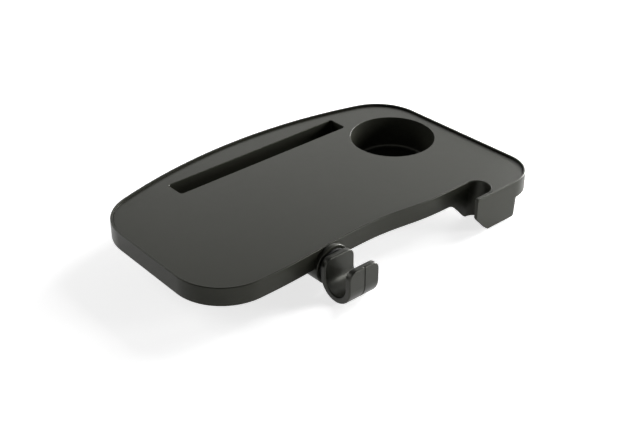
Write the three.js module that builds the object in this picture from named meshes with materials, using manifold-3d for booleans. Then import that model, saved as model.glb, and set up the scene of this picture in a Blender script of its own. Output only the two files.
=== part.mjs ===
// Side tray that hangs on the tubes of a camping chair. One moulding carries the deck, a cup well,
// a tablet slot and a fork that slides onto an upright tube. A hook on the front edge swivels to meet
// a second tube. Millimetres, +Z up, +X along the front edge, +Y away from the chair.

import * as THREE from "three";
import { mergeVertices } from "three/addons/utils/BufferGeometryUtils.js";
import Module from "manifold-3d";

// Deck outline
const TRAY_WIDTH = 370.7; // between the sides, at the front edge
const SIDE_TAPER_DEG = 1.15; // each side leans in by this angle towards the back
const BACK_BOW_RADIUS = 501;
const BACK_CORNER_RADIUS = 51;
const FRONT_CORNER_RADIUS = 50;
const CORNER_TO_SCOOP = 8; // straight stretch between the left corner and the scoop in the front edge
const SCOOP_DEPTH = 5.5;
const SCOOP_RETURN = 90; // from the deepest place of the scoop out to the fork's step
const SCOOP_TO_FORK = 15; // from the scoop's right end to the finger's tip
const SCOOP_EASE = 0.42; // share of each run of the scoop that its curve handles span

// Deck section
const DECK_HEIGHT = 36; // top of the deck above the lowest face
const DECK_THICKNESS = 2.5;
const RIM_HEIGHT = 2;
const RIM_WIDTH = 3;
const SKIRT_DEPTH = 16.2; // from the top of the deck to the skirt's lower edge
const WALL = 2.5;
const RIB_HEIGHT = 6;
const RIB_WALL = 2;
const RIB_PITCH = 60;

// Cup well and tablet slot, from the front edge to the back
const FRONT_TO_CUP = 71.4;
const CUP_DIAMETER = 85;
const CUP_FLOOR_DIAMETER = 80;
const CUP_FLOOR = 3;
const CUP_FILLET = 4;
const CUP_TO_SIDE = 12.6;
const CUP_TO_SLOT = 4.4;
const SLOT_WIDTH = 21.5;
const SLOT_LENGTH = 205.3;
const SLOT_DEPTH = 16;
const SLOT_FLOOR = 2;
const SLOT_CORNER = 3;
const SLOT_SHIFT = 3; // centre of the slot to the right of the tray's middle
const SLOT_TO_BACK = 26.5;

// Fork at the front right corner
const TUBE_GAP = 25;
const FORK_REACH = 29; // from the finger's tip to the round end of the gap
const FORK_TO_SIDE = 59.4; // from the round end of the gap to the tray's side
const FORK_STEP = 2.4; // the gap's rear wall stands this far in front of the front edge
const FORK_CORNER_RADIUS = 35;
const FINGER_WALL = 3.8;
const FORK_WALL = 3.4;
const BLOCK_LENGTH = 28; // from the round end of the gap to the block's right face
const BLOCK_CORNER = 6;
const FORK_CUT_RUN = 15.5; // slanted lower edge of both legs, along X
const FORK_CUT_RISE = 16.4; // and its height above the lowest face

// Hub under the front edge, which the hook turns in
const PIVOT_TO_FORK = 152.2; // from the hook's axis to the finger's tip
const HUB_STANDOFF = 1.4; // the hub's face in front of the front edge
const HUB_LENGTH = 21.5;
const HUB_WEB = 8; // solid front wall of the hub
const HUB_RECESS_DIAMETER = 28;
const BUSH_WALL = 1.7;
const BUSH_FLANGE_DIAMETER = 25;
const BUSH_FLANGE = 1.5;

// Swivel hook
const SADDLE_DIAMETER = 25.2;
const SADDLE_DROP = 2.1; // centre of the saddle below the hook's axis
const HOOK_WALL = 6.1;
const HOOK_WIDTH = 34;
const PLATE_TOP = 17.1; // above the centre of the saddle
const LIP_TOP = 19.2;
const HOOK_CORNER = 8;
const HOOK_EDGE = 2;
const LIP_GROOVE_WIDTH = 1.6;
const LIP_GROOVE_DEPTH = 1;
const SPIGOT_DIAMETER = 16;

// Friction ring, spring and fasteners of the swivel
const RING_DIAMETER = 32;
const RING_THICKNESS = 1.9;
const SPRING_DIAMETER = 23;
const SPRING_STRIP = 0.6;
const SPRING_WAVE = 0.5; // half height of its three waves
const SPRING_GAP_DEG = 14;
const SPRING_WAVES = 3;
const WASHER_DIAMETER = 24;
const WASHER_THICKNESS = 1.5;
const SCREW_DIAMETER = 5;
const SCREW_LENGTH = 16;
const SCREW_HEAD_DIAMETER = 9.5;
const SCREW_HEAD = 3.4;
const SCREW_CROSS_LENGTH = 6.4;
const SCREW_CROSS_WIDTH = 1.2;
const SCREW_CROSS_DEPTH = 1.8;
const INSERT_DIAMETER = 7.2;
const INSERT_LENGTH = 10;
const CLEARANCE = 0.3; // between pieces that touch or turn in each other

const ROUND = 48; // facets of a full turn
const CURVE = 10; // steps of each curve in an outline
const FILLET_STEPS = 4;
const EDGE_STEPS = 3; // facets of the hook's rounded edges
const OVERCUT = 1; // how far a cutting tool runs past the face that it opens
const WELD = 1e-4; // points closer than this are one

// Places worked out from the sizes
const taper = THREE.MathUtils.degToRad(SIDE_TAPER_DEG);
const deckBottom = DECK_HEIGHT - DECK_THICKNESS;
const rimTop = DECK_HEIGHT + RIM_HEIGHT;
const skirtBottom = DECK_HEIGHT - SKIRT_DEPTH;
const cupY = FRONT_TO_CUP + CUP_DIAMETER / 2;
const cupX = sideAt(cupY) - CUP_TO_SIDE - CUP_DIAMETER / 2;
const slotY = FRONT_TO_CUP + CUP_DIAMETER + CUP_TO_SLOT + SLOT_WIDTH / 2;
const trayDepth = slotY + SLOT_WIDTH / 2 + SLOT_TO_BACK;
const gapRadius = TUBE_GAP / 2;
const gapRear = -FORK_STEP;
const gapY = gapRear - gapRadius;
const fingerFace = gapRear - TUBE_GAP - FINGER_WALL;
const gapEnd = TRAY_WIDTH / 2 - FORK_TO_SIDE;
const mouthX = gapEnd - FORK_REACH;
const hubRadius = rimTop / 2;
const pivotX = mouthX - PIVOT_TO_FORK;
const pivotZ = hubRadius;
const hubFace = -HUB_STANDOFF;
const hubBack = hubFace + HUB_LENGTH;
const webBack = hubFace + HUB_WEB;
const spigotRadius = SPIGOT_DIAMETER / 2;
const bushBore = spigotRadius + CLEARANCE;
const bushRadius = bushBore + BUSH_WALL;
const bushBack = webBack + CLEARANCE + BUSH_FLANGE;
const springFront = bushBack + CLEARANCE;
const springBack = springFront + 2 * SPRING_WAVE + SPRING_STRIP;
const washerFront = springBack + CLEARANCE;
const spigotEnd = washerFront - CLEARANCE;
const washerBack = washerFront + WASHER_THICKNESS;
const headFront = washerBack + CLEARANCE;
const screwTip = headFront - SCREW_LENGTH;
const screwBore = SCREW_DIAMETER / 2 + CLEARANCE;
const plateBack = hubFace - RING_THICKNESS - 2 * CLEARANCE;
const saddleRadius = SADDLE_DIAMETER / 2;
const hookRadius = saddleRadius + HOOK_WALL;
const plateFront = plateBack - HOOK_WALL;
const saddleY = plateFront - saddleRadius;
const saddleZ = pivotZ - SADDLE_DROP;
const plateTop = saddleZ + PLATE_TOP;
const lipTop = saddleZ + LIP_TOP;

const wasm = await Module();
wasm.setup();

// Half width of the deck at a distance from the front edge
function sideAt(y) {
  return TRAY_WIDTH / 2 - Math.tan(taper) * y;
}

// Closed solid made from a three.js geometry
function solidOf(geometry) {
  geometry.deleteAttribute("normal");
  geometry.deleteAttribute("uv");
  const merged = mergeVertices(geometry, WELD);
  const vertProperties = new Float32Array(merged.attributes.position.array);
  const corners = merged.index.array;
  const kept = [];
  for (let i = 0; i < corners.length; i += 3) {
    const [a, b, c] = corners.slice(i, i + 3);
    // A turned profile has triangles of no area where it meets its axis
    if (a !== b && b !== c && c !== a) {
      kept.push(a, b, c);
    }
  }
  const triVerts = new Uint32Array(kept);
  return new wasm.Manifold(new wasm.Mesh({ numProp: 3, vertProperties, triVerts }));
}

// Shape drawn in X and Y, raised from one level to another
function upright(shape, bottom, top) {
  const geometry = new THREE.ExtrudeGeometry(shape, {
    depth: top - bottom,
    bevelEnabled: false,
    curveSegments: CURVE,
  });
  geometry.translate(0, 0, bottom);
  return solidOf(geometry);
}

// Shape drawn in X and Z, run along Y
function alongY(shape, front, back) {
  const geometry = new THREE.ExtrudeGeometry(shape, {
    depth: back - front,
    bevelEnabled: false,
    curveSegments: CURVE,
  });
  geometry.rotateX(Math.PI / 2);
  geometry.translate(0, back, 0);
  return solidOf(geometry);
}

// Profile of radius and height points, turned about the vertical
function turned(points, x, y) {
  const geometry = new THREE.LatheGeometry(points, ROUND);
  geometry.rotateX(Math.PI / 2);
  geometry.translate(x, y, 0);
  return solidOf(geometry);
}

// Cylinder on the hook's axis
function onPivot(radius, front, back) {
  const geometry = new THREE.CylinderGeometry(radius, radius, back - front, ROUND);
  geometry.translate(pivotX, (front + back) / 2, pivotZ);
  return solidOf(geometry);
}

function box(x0, x1, y0, y1, z0, z1) {
  const geometry = new THREE.BoxGeometry(x1 - x0, y1 - y0, z1 - z0);
  geometry.translate((x0 + x1) / 2, (y0 + y1) / 2, (z0 + z1) / 2);
  return solidOf(geometry);
}

// Corner arc between a leaning side and the bowed back, for an outline drawn in by inset
function backCorner(inset) {
  const radius = BACK_CORNER_RADIUS - inset;
  const bow = new THREE.Vector2(0, trayDepth - BACK_BOW_RADIUS);
  const reach = BACK_BOW_RADIUS - BACK_CORNER_RADIUS;
  const start = TRAY_WIDTH / 2 - BACK_CORNER_RADIUS / Math.cos(taper);
  const lean = Math.tan(taper);
  const a = 1 + lean * lean;
  const b = -lean * start - bow.y;
  const c = start * start + bow.y * bow.y - reach * reach;
  const y = (-b + Math.sqrt(b * b - a * c)) / a;
  const centre = new THREE.Vector2(start - lean * y, y);
  const turn = Math.atan2(centre.y - bow.y, centre.x - bow.x);
  return { centre, radius, turn, bow };
}

// Centre of a corner between the straight front at a level and a leaning side
function frontCorner(level, radius) {
  const y = level + radius;
  return new THREE.Vector2(sideAt(y) - radius / Math.cos(taper), y);
}

// Outline of the tray, drawn in by a distance; the fork's gap is cut out of it later
function outline(inset) {
  const { centre, radius, turn, bow } = backCorner(inset);
  const left = frontCorner(0, FRONT_CORNER_RADIUS);
  const right = frontCorner(fingerFace, FORK_CORNER_RADIUS);
  const scoopStart = CORNER_TO_SCOOP - left.x;
  const scoopEnd = mouthX - SCOOP_TO_FORK;
  const crestX = scoopEnd - SCOOP_RETURN;
  const crestY = SCOOP_DEPTH + inset;
  const stepY = gapRear + inset;
  const entryHandle = SCOOP_EASE * (crestX - scoopStart);
  const returnHandle = SCOOP_EASE * SCOOP_RETURN;
  const shape = new THREE.Shape();
  shape.absarc(right.x, right.y, FORK_CORNER_RADIUS - inset, -Math.PI / 2, taper, false);
  shape.absarc(centre.x, centre.y, radius, taper, turn, false);
  shape.absarc(bow.x, bow.y, BACK_BOW_RADIUS - inset, turn, Math.PI - turn, false);
  shape.absarc(-centre.x, centre.y, radius, Math.PI - turn, Math.PI - taper, false);
  shape.absarc(-left.x, left.y, FRONT_CORNER_RADIUS - inset, Math.PI - taper, 1.5 * Math.PI, false);
  shape.lineTo(scoopStart, inset);
  shape.bezierCurveTo(scoopStart + entryHandle, inset, crestX - entryHandle, crestY, crestX, crestY);
  shape.bezierCurveTo(crestX + returnHandle, crestY, scoopEnd - returnHandle, stepY, scoopEnd, stepY);
  shape.lineTo(mouthX + inset, stepY);
  shape.lineTo(mouthX + inset, fingerFace + inset);
  shape.closePath();
  return shape;
}

// The tablet slot in plan, grown by a wall
function slotShape(grow) {
  const x0 = SLOT_SHIFT - SLOT_LENGTH / 2 - grow;
  const x1 = SLOT_SHIFT + SLOT_LENGTH / 2 + grow;
  const y0 = slotY - SLOT_WIDTH / 2 - grow;
  const y1 = slotY + SLOT_WIDTH / 2 + grow;
  const radius = SLOT_CORNER + grow;
  const shape = new THREE.Shape();
  shape.absarc(x1 - radius, y0 + radius, radius, -Math.PI / 2, 0, false);
  shape.absarc(x1 - radius, y1 - radius, radius, 0, Math.PI / 2, false);
  shape.absarc(x0 + radius, y1 - radius, radius, Math.PI / 2, Math.PI, false);
  shape.absarc(x0 + radius, y0 + radius, radius, Math.PI, 1.5 * Math.PI, false);
  shape.closePath();
  return shape;
}

// The fork's gap in plan, grown by a wall, open to the left from a given line
function gapShape(grow, from) {
  const radius = gapRadius + grow;
  const shape = new THREE.Shape();
  shape.moveTo(from, gapY - radius);
  shape.lineTo(gapEnd - gapRadius, gapY - radius);
  shape.absarc(gapEnd - gapRadius, gapY, radius, -Math.PI / 2, Math.PI / 2, false);
  shape.lineTo(from, gapY + radius);
  shape.closePath();
  return shape;
}

// The block that deepens the fork below the skirt, rounded at its right end
function blockShape(inset) {
  const right = gapEnd + BLOCK_LENGTH - inset;
  const front = fingerFace + inset;
  const rear = gapRear + FORK_WALL - inset;
  const radius = BLOCK_CORNER - inset;
  const shape = new THREE.Shape();
  shape.moveTo(mouthX + inset, front);
  shape.lineTo(right - radius, front);
  shape.absarc(right - radius, front + radius, radius, -Math.PI / 2, 0, false);
  shape.absarc(right - radius, rear - radius, radius, 0, Math.PI / 2, false);
  shape.lineTo(mouthX + inset, rear);
  shape.closePath();
  return shape;
}

// Cup profile from the axis along the floor and up the wall, grown by a wall
function cupProfile(grow, floor, top) {
  const low = CUP_FLOOR_DIAMETER / 2 + grow;
  const high = CUP_DIAMETER / 2 + grow;
  const draft = (high - low) / (DECK_HEIGHT - CUP_FLOOR);
  const fillet = CUP_FILLET;
  const bend = new THREE.Path();
  bend.moveTo(0, floor);
  bend.lineTo(low - fillet, floor);
  bend.absarc(low - fillet, floor + fillet, fillet, -Math.PI / 2, 0, false);
  bend.lineTo(high + draft * (top - DECK_HEIGHT), top);
  bend.lineTo(0, top);
  return bend.getPoints(FILLET_STEPS);
}

// Ribs across the underside between the front and back skirts
function ribs() {
  const inside = upright(outline(WALL / 2), deckBottom - RIB_HEIGHT, deckBottom + DECK_THICKNESS / 2);
  let bars = null;
  const reach = Math.floor(TRAY_WIDTH / 2 / RIB_PITCH - 1 / 2);
  for (let i = -reach; i <= reach; i += 1) {
    const x = i * RIB_PITCH;
    const bar = box(x - RIB_WALL / 2, x + RIB_WALL / 2, fingerFace, trayDepth, 0, DECK_HEIGHT);
    bars = bars ? bars.add(bar) : bar;
  }
  return bars.intersect(inside);
}

// Slanted lower edge of the fork's two legs
function forkCut() {
  const slope = FORK_CUT_RISE / FORK_CUT_RUN;
  const shape = new THREE.Shape();
  shape.moveTo(mouthX - OVERCUT, -OVERCUT);
  shape.lineTo(mouthX + FORK_CUT_RUN + OVERCUT / slope, -OVERCUT);
  shape.lineTo(mouthX - OVERCUT, FORK_CUT_RISE + OVERCUT * slope);
  shape.closePath();
  return alongY(shape, fingerFace - OVERCUT, gapRear + FORK_WALL + OVERCUT);
}

function tray() {
  const slotFloor = DECK_HEIGHT - SLOT_DEPTH;
  const hollow = upright(outline(WALL), skirtBottom - OVERCUT, deckBottom);
  const recess = upright(outline(RIM_WIDTH), DECK_HEIGHT, rimTop + OVERCUT);
  const block = upright(blockShape(0), 0, deckBottom)
    .subtract(upright(blockShape(WALL), -OVERCUT, deckBottom - OVERCUT));
  return upright(outline(0), skirtBottom, rimTop)
    .subtract(hollow)
    .add(ribs())
    .add(turned(cupProfile(WALL, 0, deckBottom), cupX, cupY))
    .add(upright(slotShape(WALL), slotFloor - SLOT_FLOOR, deckBottom))
    .add(block)
    .add(upright(gapShape(FORK_WALL, mouthX), 0, deckBottom))
    .subtract(forkCut())
    .add(onPivot(hubRadius, hubFace, hubBack))
    .subtract(recess)
    .subtract(turned(cupProfile(0, CUP_FLOOR, rimTop + OVERCUT), cupX, cupY))
    .subtract(upright(slotShape(0), slotFloor, rimTop + OVERCUT))
    .subtract(upright(gapShape(0, mouthX - OVERCUT), -OVERCUT, rimTop + OVERCUT))
    .subtract(onPivot(bushRadius + CLEARANCE, hubFace - OVERCUT, webBack + OVERCUT))
    .subtract(onPivot(HUB_RECESS_DIAMETER / 2, webBack, hubBack + OVERCUT));
}

// Outline of the plate or the lip seen from the front, with rounded upper corners
function tab(top) {
  const half = HOOK_WIDTH / 2;
  const low = saddleZ - hookRadius - OVERCUT;
  const shape = new THREE.Shape();
  shape.moveTo(pivotX - half, low);
  shape.lineTo(pivotX + half, low);
  shape.absarc(pivotX + half - HOOK_CORNER, top - HOOK_CORNER, HOOK_CORNER, 0, Math.PI / 2, false);
  shape.absarc(pivotX - half + HOOK_CORNER, top - HOOK_CORNER, HOOK_CORNER, Math.PI / 2, Math.PI, false);
  shape.closePath();
  return shape;
}

// The hook: a J section run along X, with rounded upper corners, a spigot and a grooved lip
function hook() {
  const lipFace = saddleY - hookRadius;
  const section = new THREE.Shape();
  section.moveTo(plateBack, saddleZ);
  section.lineTo(plateBack, plateTop);
  section.lineTo(plateFront, plateTop);
  section.absarc(saddleY, saddleZ, saddleRadius, 0, Math.PI, true);
  section.lineTo(saddleY - saddleRadius, lipTop);
  section.lineTo(lipFace, lipTop);
  section.absarc(saddleY, saddleZ, hookRadius, Math.PI, 2 * Math.PI, false);
  const bar = new THREE.ExtrudeGeometry(section, {
    depth: HOOK_WIDTH - 2 * HOOK_EDGE,
    bevelThickness: HOOK_EDGE,
    bevelSize: HOOK_EDGE,
    bevelOffset: -HOOK_EDGE,
    bevelSegments: EDGE_STEPS,
    curveSegments: CURVE,
  });
  bar.applyMatrix4(new THREE.Matrix4().set(0, 0, 1, 0, 1, 0, 0, 0, 0, 1, 0, 0, 0, 0, 0, 1));
  bar.translate(pivotX - HOOK_WIDTH / 2 + HOOK_EDGE, 0, 0);
  const front = alongY(tab(plateTop), saddleY, plateBack + OVERCUT)
    .add(alongY(tab(lipTop), lipFace - OVERCUT, saddleY));
  const groove = box(
    pivotX - LIP_GROOVE_WIDTH / 2,
    pivotX + LIP_GROOVE_WIDTH / 2,
    lipFace - OVERCUT,
    lipFace + LIP_GROOVE_DEPTH,
    saddleZ,
    lipTop + OVERCUT,
  );
  const insertRadius = INSERT_DIAMETER / 2 + CLEARANCE;
  return solidOf(bar)
    .intersect(front)
    .subtract(groove)
    .add(onPivot(spigotRadius, (plateFront + plateBack) / 2, spigotEnd))
    .subtract(onPivot(insertRadius, spigotEnd - INSERT_LENGTH - CLEARANCE, spigotEnd + OVERCUT))
    .subtract(onPivot(screwBore, screwTip - CLEARANCE, spigotEnd));
}

// Ring on the hook's axis
function ring(outer, inner, front, back) {
  return onPivot(outer, front, back).subtract(onPivot(inner, front - OVERCUT, back + OVERCUT));
}

function bush() {
  return onPivot(bushRadius, hubFace + CLEARANCE, bushBack)
    .add(onPivot(BUSH_FLANGE_DIAMETER / 2, bushBack - BUSH_FLANGE, bushBack))
    .subtract(onPivot(bushBore, hubFace - OVERCUT, bushBack + OVERCUT));
}

// Split spring ring, bent into waves along the hook's axis
function spring() {
  const outer = SPRING_DIAMETER / 2;
  const inner = spigotRadius + CLEARANCE;
  const half = THREE.MathUtils.degToRad(SPRING_GAP_DEG) / 2;
  const strip = new THREE.Shape();
  strip.absarc(0, 0, outer, half, 2 * Math.PI - half, false);
  strip.absarc(0, 0, inner, 2 * Math.PI - half, half, true);
  strip.closePath();
  const geometry = new THREE.ExtrudeGeometry(strip, {
    depth: SPRING_STRIP,
    bevelEnabled: false,
    curveSegments: ROUND / 2,
  });
  const place = geometry.attributes.position;
  for (let i = 0; i < place.count; i += 1) {
    const turn = Math.atan2(place.getY(i), place.getX(i));
    place.setZ(i, place.getZ(i) + SPRING_WAVE * (1 + Math.cos(SPRING_WAVES * turn)));
  }
  geometry.rotateX(-Math.PI / 2);
  geometry.translate(pivotX, springFront, pivotZ);
  return solidOf(geometry);
}

// Bar of the cross in the screw's head
function crossBar(alongX, alongZ) {
  const back = headFront + SCREW_HEAD;
  const x = alongX / 2;
  const z = alongZ / 2;
  return box(pivotX - x, pivotX + x, back - SCREW_CROSS_DEPTH, back + OVERCUT, pivotZ - z, pivotZ + z);
}

function screw() {
  return onPivot(SCREW_DIAMETER / 2, screwTip, headFront + SCREW_HEAD / 2)
    .add(onPivot(SCREW_HEAD_DIAMETER / 2, headFront, headFront + SCREW_HEAD))
    .subtract(crossBar(SCREW_CROSS_LENGTH, SCREW_CROSS_WIDTH))
    .subtract(crossBar(SCREW_CROSS_WIDTH, SCREW_CROSS_LENGTH));
}

const finishes = {
  charcoal: new THREE.MeshStandardMaterial({ color: 0x4a4a47, roughness: 0.62, metalness: 0 }),
  graphite: new THREE.MeshStandardMaterial({ color: 0x3f403e, roughness: 0.5, metalness: 0 }),
  rubber: new THREE.MeshStandardMaterial({ color: 0x161616, roughness: 0.85, metalness: 0 }),
  acetal: new THREE.MeshStandardMaterial({ color: 0xd9d6cc, roughness: 0.45, metalness: 0 }),
  steel: new THREE.MeshStandardMaterial({ color: 0xb4b6b8, roughness: 0.35, metalness: 1 }),
  brass: new THREE.MeshStandardMaterial({ color: 0xb08d4a, roughness: 0.35, metalness: 1 }),
};

// Named mesh of a finished solid
function piece(name, solid, material) {
  const { numProp, vertProperties, triVerts } = solid.getMesh();
  const geometry = new THREE.BufferGeometry();
  geometry.setAttribute("position", new THREE.BufferAttribute(new Float32Array(vertProperties), numProp));
  geometry.setIndex(new THREE.BufferAttribute(new Uint32Array(triVerts), 1));
  geometry.computeVertexNormals();
  const mesh = new THREE.Mesh(geometry, material);
  mesh.name = name;
  return mesh;
}

const assembly = new THREE.Group();
assembly.add(
  piece("tray_shell", tray(), finishes.charcoal),
  piece("hub_bush", bush(), finishes.acetal),
  piece("swivel_hook", hook(), finishes.graphite),
  piece(
    "friction_ring",
    ring(RING_DIAMETER / 2, spigotRadius + CLEARANCE, plateBack + CLEARANCE, hubFace - CLEARANCE),
    finishes.rubber,
  ),
  piece("wave_spring", spring(), finishes.steel),
  piece("flat_washer", ring(WASHER_DIAMETER / 2, screwBore, washerFront, washerBack), finishes.steel),
  piece("pivot_screw", screw(), finishes.steel),
  piece(
    "threaded_insert",
    ring(INSERT_DIAMETER / 2, screwBore, spigotEnd - INSERT_LENGTH, spigotEnd),
    finishes.brass,
  ),
);

// The origin lies under the middle of the whole tray, on the surface that it stands on
const bounds = new THREE.Box3().setFromObject(assembly);
const middle = bounds.getCenter(new THREE.Vector3());
assembly.position.set(-middle.x, -middle.y, -bounds.min.z);

export default assembly;
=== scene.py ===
import math
from collections import namedtuple

import bmesh
import bpy
from bpy.props import FloatProperty, FloatVectorProperty, PointerProperty
from bpy.types import Operator, Panel, PropertyGroup
from mathutils import Matrix, Vector
from mathutils.geometry import interpolate_bezier


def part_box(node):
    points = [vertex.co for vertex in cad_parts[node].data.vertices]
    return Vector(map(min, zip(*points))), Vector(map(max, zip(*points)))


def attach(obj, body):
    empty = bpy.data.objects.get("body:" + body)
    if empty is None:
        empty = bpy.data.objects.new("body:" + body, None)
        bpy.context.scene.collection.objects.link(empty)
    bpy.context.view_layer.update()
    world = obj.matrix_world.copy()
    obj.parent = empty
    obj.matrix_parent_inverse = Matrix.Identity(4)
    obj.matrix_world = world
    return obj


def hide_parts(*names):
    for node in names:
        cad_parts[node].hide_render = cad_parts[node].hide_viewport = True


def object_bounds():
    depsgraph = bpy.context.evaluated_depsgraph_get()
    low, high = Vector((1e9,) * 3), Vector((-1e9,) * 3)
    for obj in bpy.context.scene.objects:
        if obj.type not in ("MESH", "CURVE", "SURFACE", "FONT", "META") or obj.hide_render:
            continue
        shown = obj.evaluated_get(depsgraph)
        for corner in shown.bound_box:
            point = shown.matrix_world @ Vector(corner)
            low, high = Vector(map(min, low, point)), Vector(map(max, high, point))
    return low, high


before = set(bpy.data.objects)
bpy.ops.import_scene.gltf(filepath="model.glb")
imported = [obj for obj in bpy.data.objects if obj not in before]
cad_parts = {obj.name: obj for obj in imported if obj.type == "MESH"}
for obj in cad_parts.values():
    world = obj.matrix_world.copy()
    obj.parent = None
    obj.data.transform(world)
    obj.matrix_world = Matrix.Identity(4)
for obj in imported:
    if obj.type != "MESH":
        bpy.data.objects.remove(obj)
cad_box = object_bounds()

bl_info = {
    "name": "Camping chair side tray",
    "version": (1, 0, 0),
    "blender": (4, 5, 0),
    "location": "View3D > Sidebar > Side Tray",
    "description": "Models a clip-on side tray and its swivel hook around their packed frame",
    "category": "Object",
}

# Corners of the packed pieces that the defaults are taken from
TRAY_LOW, TRAY_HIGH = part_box("tray_shell")
RING_LOW, RING_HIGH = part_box("friction_ring")
WASHER_LOW, WASHER_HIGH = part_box("flat_washer")
SCREW_LOW, SCREW_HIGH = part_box("pivot_screw")

MM = 0.001
HAIR = 0.02 * MM  # how far a face that backs another one stays behind it
WELD = 0.002 * MM  # points closer together than this become one
OVERLAP = 1 * MM  # how far a part of a moulding reaches into the next one
CREASE = math.radians(42)  # faces that meet at a larger angle keep a sharp edge
FACETS, FEW_FACETS = 96, 64  # around a large and around a small turned shape

UP = Vector((0, 0, 1))
PIVOT_AXIS = Vector((0, 1, 0))
QUARTER = math.pi / 2

# Tray
RIM_HEIGHT = 2  # in millimetres, because the deck's height depends on it
TIP_RIM = 0.85  # share of the rim's height that is left at the finger's tip
TIP_RUN = 4 * MM  # from the finger's tip to where the rim has its full height
SNAP = 0.15 * MM  # how quickly the skirt's section changes into a leg's
LEG_SKIN = 1 * MM  # thickness of the skin that the edge lays over the fork's legs
BLOCK_ROOF = 1 * MM  # above the hollow in the fork's block, under the deck
SKIRT_CHAMFER = 0.4 * MM  # at the skirt's inner lower edge
SLOT_FILLET = 1.5 * MM  # between the tablet slot's walls and floor
HUB_RING = 4 * MM  # length of the hub's full ring, in front of the part under the deck

# Rim's section, from the deck outwards
RIM_WALL = 0.64  # share of the rim's width that its wall takes up
ROUND_SHARE = 0.45  # most of the rim's width that its rounding takes up
CHAMFER_SHARE = 0.6  # most of the skirt's flat lower edge that the chamfer takes up
GROOVE_ROWS = ((1, 0), (0.97, 0.06), (0.94, 0.3), (0.93, 0.9), (0.91, 1))  # shares of the width and the groove
WALL_FOOT_ROWS = ((1.03, 1), (1, 0.9))  # shares of the wall and the groove
WALL_TOP_ROWS = ((1, 0.12), (0.97, 0.03), (0.9, 0))  # shares of the wall and the rim's height, from the top

# Swivel
HOOK_END_ROWS = (0, 0.08, 0.25, 0.5, 0.9, 1.4, 2, 2.8, 3.8, 5, 6.4, 8)  # millimetres from either end of the hook
# Points across the lip's groove: shares of half its width and of its depth
LIP_GROOVE = ((1.4, 0), (1, 0.85), (0.5, 1), (-0.5, 1), (-1, 0.85), (-1.4, 0))
GROOVE_START, GROOVE_RUN = 1.5, 0.7  # radians round the saddle, to where the lip's groove has its depth
SPIGOT_CHAMFER = 0.5 * MM
RING_ROUND, WASHER_ROUND = 0.6 * MM, 0.3 * MM
WASHER_BORE = 0.3  # radius of the washer's hole, as a share of the screw head's width

# Finishes
NOISE_LOW, NOISE_HIGH = 0.3, 0.7  # between these lie most values of a noise
CLOUD, BLOTCH = 60 * MM, 8 * MM  # faint unevenness of a moulding's colour and of its gloss
SPECK_SHARE = 0.35  # of the grain in a moulding's unevenness of colour
GLOSS_TINT = (0.99, 1, 0.9, 1)  # faintly warm
MARK_SCALE = (1, 0.1, 1)  # draws the marks on a metal out along the hook's axis
WHITE = (1, 1, 1, 1)

# Stage
FLOOR_SIZE, FLOOR_CLOUD = 6, 0.4  # half the floor's width, and the size of its faint blotches
FLOOR_LIFT, FLOOR_GLOSS = 0.75, 0.8  # what brings the floor up to white, and how much of that gloss shows
ROOM_LIGHT, ROOM_GLOSS = 0.04, 0.78  # how strongly the room lights the tray and shows in its gloss
ROOM_RISE, ROOM_TOP, ROOM_OVERHEAD = 0.55, 0.76, 0.05  # heights between which the room darkens, and to what
LAMP_TARGET = (0, 0, 0.02)
LAMPS = (  # name, place, watts, width and depth
    ("Softbox right", (1.35, 0.1, 0.8), 16, 0.8, 0.6),
    ("Strip right", (1.5, 0.05, 0.32), 48, 1.2, 0.6),
    ("Softbox front", (1.05, -1.1, 0.33), 10, 0.5, 0.4),
    ("Softbox behind", (-0.8, 1.5, 0.8), 9, 1.2, 0.6),
    ("Strip behind", (0.75, 0.95, 0.55), 0.8, 0.8, 0.4),
)
SENSOR_WIDTH = 36  # millimetres, as the lens


def length(name, description, millimetres):
    """Property for a length, which is written in millimetres and kept in metres."""
    return FloatProperty(
        name=name, description=description, default=millimetres * MM, unit="LENGTH", precision=5
    )


def angle(name, description, degrees):
    """Property for an angle, which is written in degrees and kept in radians."""
    return FloatProperty(name=name, description=description, default=math.radians(degrees), subtype="ANGLE")


def colour(name, description, red, green, blue):
    """Property for a linear colour."""
    return FloatVectorProperty(
        name=name, description=description, default=(red, green, blue), subtype="COLOR", size=3, min=0, max=1
    )


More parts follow.
